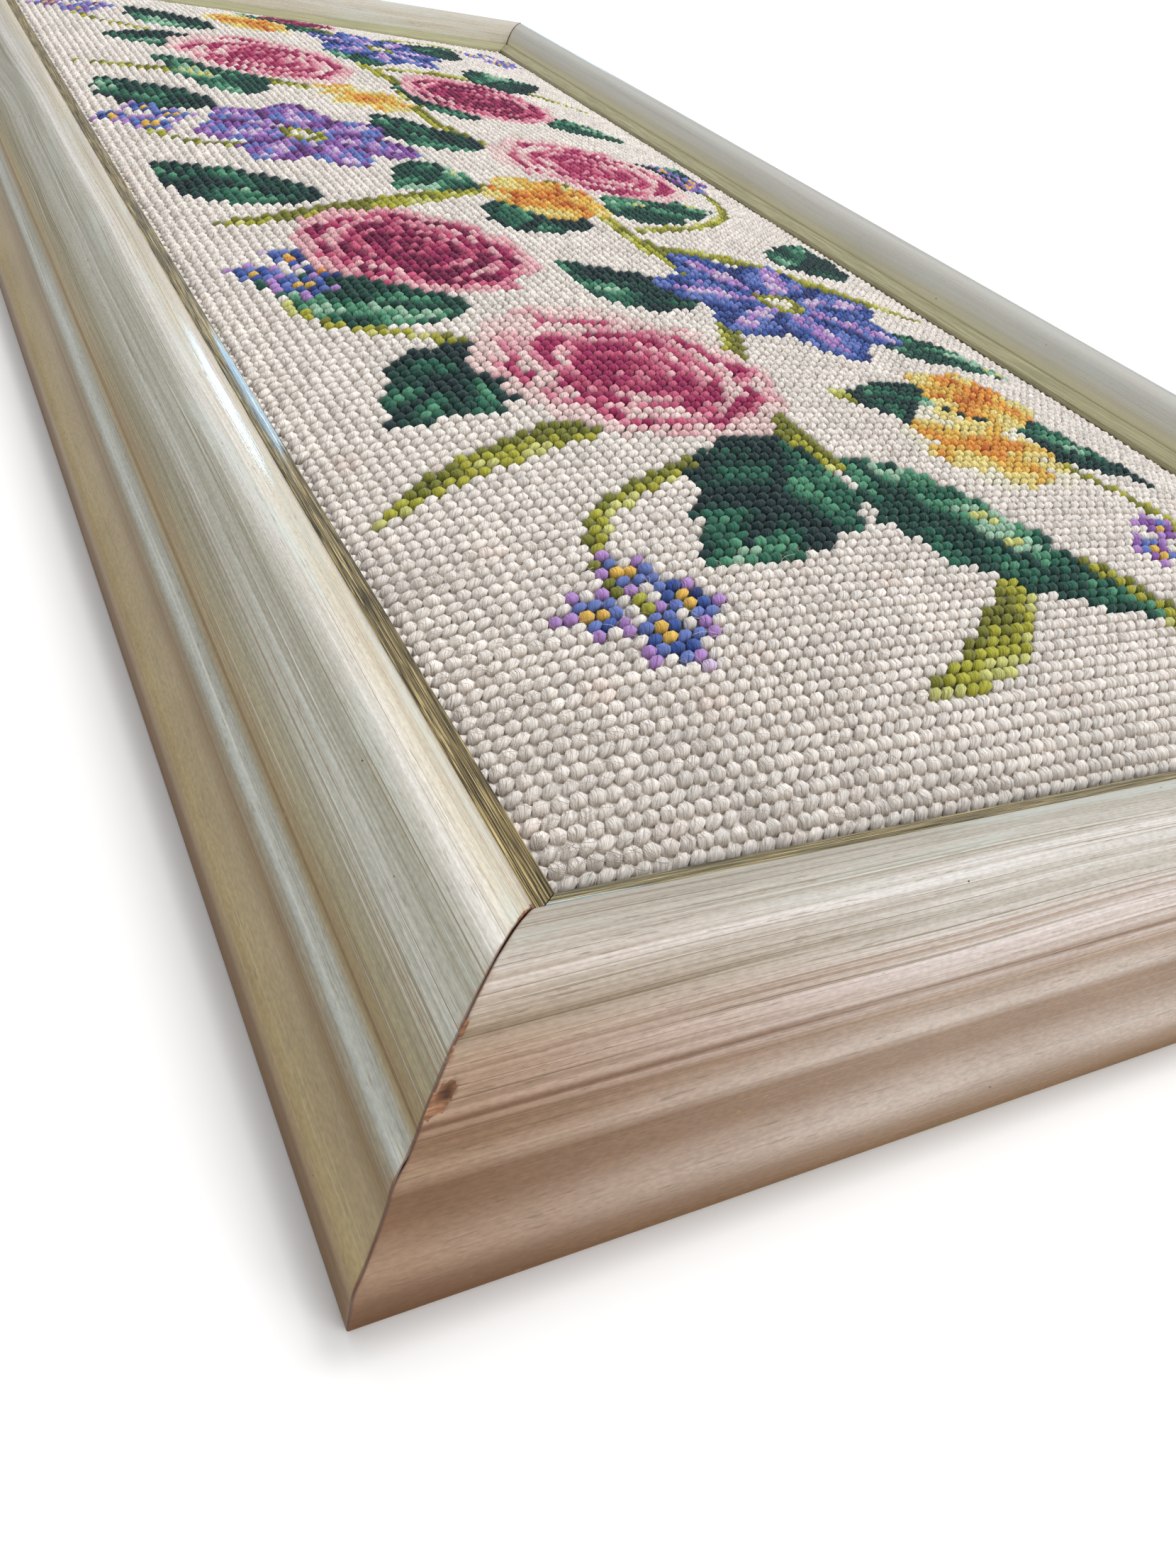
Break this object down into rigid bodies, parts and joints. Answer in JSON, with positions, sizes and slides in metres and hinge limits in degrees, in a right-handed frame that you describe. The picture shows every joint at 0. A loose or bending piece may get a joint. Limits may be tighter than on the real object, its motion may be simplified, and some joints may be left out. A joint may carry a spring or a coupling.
{
  "type": "needlepoint picture in a painted wooden frame",
  "caption": "Tall wool needlepoint picture held flat in a domed, painted wooden frame with a narrow gilt slip, lying on its back.",
  "frame": {"origin": "centre of the frame's outline, on the plane of its back", "axes": "+X to the right of the picture, +Y to its top, +Z out of its face"},
  "size_m": [0.275, 0.576, 0.0254],
  "materials": {
    "painted_wood": "cream and grey-green paint wiped along the grain, satin",
    "gilt": "olive-gold leaf rubbed along its length",
    "wool_on_canvas": "tent stitch in twisted wool on cotton canvas",
    "hardboard": "smooth side of plain brown hardboard"
  },
  "bodies": {
    "root": {"moulding_bottom": "painted_wood", "moulding_right": "painted_wood", "moulding_top": "painted_wood", "moulding_left": "painted_wood", "slip_bottom": "gilt", "slip_right": "gilt", "slip_top": "gilt", "slip_left": "gilt", "needlework": "wool_on_canvas", "backing_board": "hardboard"}
  },
  "joints": []
}
